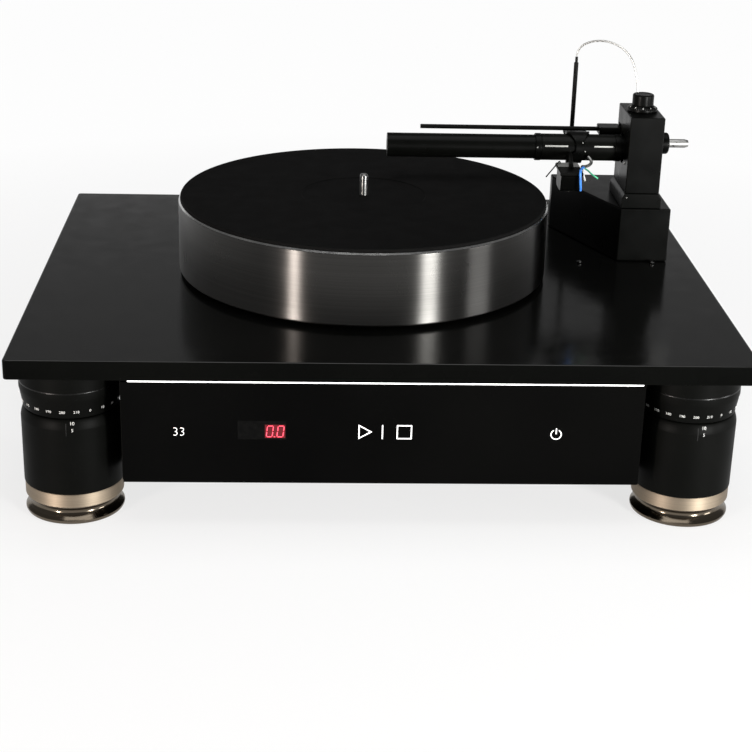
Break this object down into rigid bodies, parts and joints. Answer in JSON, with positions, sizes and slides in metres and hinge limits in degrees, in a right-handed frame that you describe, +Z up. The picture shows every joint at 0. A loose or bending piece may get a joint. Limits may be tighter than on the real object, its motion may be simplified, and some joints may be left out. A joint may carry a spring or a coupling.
{
  "type": "turntable",
  "caption": "Black belt drive turntable on tall levelling feet, with a thick polished platter and a tangential air bearing arm on a tower",
  "frame": {"origin": "middle of the footprint, on the plane that the feet stand on", "axes": "+X to the right along the width, +Y to the back, +Z up"},
  "size_m": [0.542, 0.427, 0.3052],
  "materials": {
    "satin_black": "satin",
    "gloss_black": "gloss",
    "white_light": "gloss",
    "red_display": "gloss",
    "champagne_metal": "satin",
    "dark_chrome": "polished",
    "bright_metal": "polished",
    "mat_rubber": "matte",
    "belt_rubber": "matte",
    "brushed_metal": "brushed",
    "copper_winding": "satin",
    "arm_black": "satin",
    "grey_plate": "satin",
    "clear_wire": "gloss",
    "lead_plastic": "matte"
  },
  "bodies": {
    "frame": {"plinth_plate": "satin_black", "chassis_shell": "satin_black", "bottom_cover": "satin_black", "power_inlet": "satin_black", "foot_front_left_body": "satin_black", "foot_front_right_body": "satin_black", "foot_rear_left_body": "satin_black", "foot_rear_right_body": "satin_black", "front_glass": "gloss_black", "light_bar": "white_light", "display_module": "red_display", "foot_front_left_band": "champagne_metal", "foot_front_right_band": "champagne_metal", "foot_rear_left_band": "champagne_metal", "foot_rear_right_band": "champagne_metal", "foot_front_left_base": "dark_chrome", "foot_front_right_base": "dark_chrome", "foot_rear_left_base": "dark_chrome", "foot_rear_right_base": "dark_chrome", "base_screw_left": "bright_metal", "base_screw_right": "bright_metal", "drive_belt": "belt_rubber", "bearing_housing": "brushed_metal", "motor": "brushed_metal", "signal_socket_left": "brushed_metal", "signal_socket_right": "brushed_metal", "power_supply": "copper_winding", "arm_base": "arm_black", "tower_foot": "arm_black", "arm_tower": "arm_black", "wire_mast": "arm_black", "signal_wire": "clear_wire"},
    "platter_group": {"spindle": "bright_metal", "sub_platter": "brushed_metal", "platter": "bright_metal", "platter_mat": "mat_rubber"},
    "pulley": {"motor_pulley": "brushed_metal"},
    "height_block": {"vta_block": "brushed_metal", "air_beam": "arm_black", "inlet_collar": "arm_black", "air_nozzle": "bright_metal", "rail_holder": "arm_black"},
    "height_knob": {"vta_knob": "arm_black", "vta_dial": "arm_black"},
    "rail": {"lift_rail": "arm_black"},
    "carriage": {"carriage_sleeve": "arm_black", "sleeve_collar_left": "arm_black", "sleeve_collar_right": "arm_black"},
    "arm": {"arm_bracket": "arm_black", "arm_wand": "arm_black", "headshell": "grey_plate", "cartridge": "arm_black", "stylus": "bright_metal", "finger_lift": "arm_black", "lead_tube": "clear_wire", "cartridge_leads": "lead_plastic"},
    "foot_front_left_dial": {"foot_front_left_ring": "satin_black"},
    "foot_front_right_dial": {"foot_front_right_ring": "satin_black"},
    "foot_rear_left_dial": {"foot_rear_left_ring": "satin_black"},
    "foot_rear_right_dial": {"foot_rear_right_ring": "satin_black"}
  },
  "joints": [
    {"name": "platter_spin", "type": "hinge", "parent": "frame", "child": "platter_group", "pos_m": [-0.0107, 0.0022, 0.16], "axis": [0, 0, 1], "continuous": true},
    {"name": "pulley_spin", "type": "hinge", "parent": "frame", "child": "pulley", "pos_m": [0.07812, -0.03922, 0.15], "axis": [0, 0, 1], "continuous": true},
    {"name": "height_slide", "type": "slide", "parent": "frame", "child": "height_block", "axis": [0, 0, 1], "range_m": [-0.002, 0.002]},
    {"name": "knob_turn", "type": "hinge", "parent": "frame", "child": "height_knob", "pos_m": [0.2228, 0.0545, 0.262], "axis": [0, 0, 1], "range_deg": [-360, 360]},
    {"name": "carriage_slide", "type": "slide", "parent": "height_block", "child": "carriage", "axis": [-1, 0, 0], "range_m": [0, 0.1137]},
    {"name": "arm_tilt", "type": "hinge", "parent": "carriage", "child": "arm", "pos_m": [0.1705, 0.0545, 0.2235], "axis": [1, 0, 0], "range_deg": [0, 2.41]},
    {"name": "rail_lift", "type": "slide", "parent": "height_block", "child": "rail", "axis": [0, 0, 1], "range_m": [0, 0.0008]},
    {"name": "foot_front_left_turn", "type": "hinge", "parent": "frame", "child": "foot_front_left_dial", "pos_m": [-0.2295, -0.1715, 0.1], "axis": [0, 0, 1], "range_deg": [-180, 180]},
    {"name": "foot_front_right_turn", "type": "hinge", "parent": "frame", "child": "foot_front_right_dial", "pos_m": [0.2295, -0.1715, 0.1], "axis": [0, 0, 1], "range_deg": [-180, 180]},
    {"name": "foot_rear_left_turn", "type": "hinge", "parent": "frame", "child": "foot_rear_left_dial", "pos_m": [-0.2295, 0.1715, 0.1], "axis": [0, 0, 1], "range_deg": [-180, 180]},
    {"name": "foot_rear_right_turn", "type": "hinge", "parent": "frame", "child": "foot_rear_right_dial", "pos_m": [0.2295, 0.1715, 0.1], "axis": [0, 0, 1], "range_deg": [-180, 180]}
  ],
  "couplings": [
    {"joint": "pulley_spin", "follows": "platter_spin", "ratio": 6.2},
    {"joint": "knob_turn", "follows": "height_slide", "rad_per_m": 3141.6},
    {"joint": "rail_lift", "follows": "arm_tilt", "m_per_rad": 0.0185}
  ]
}
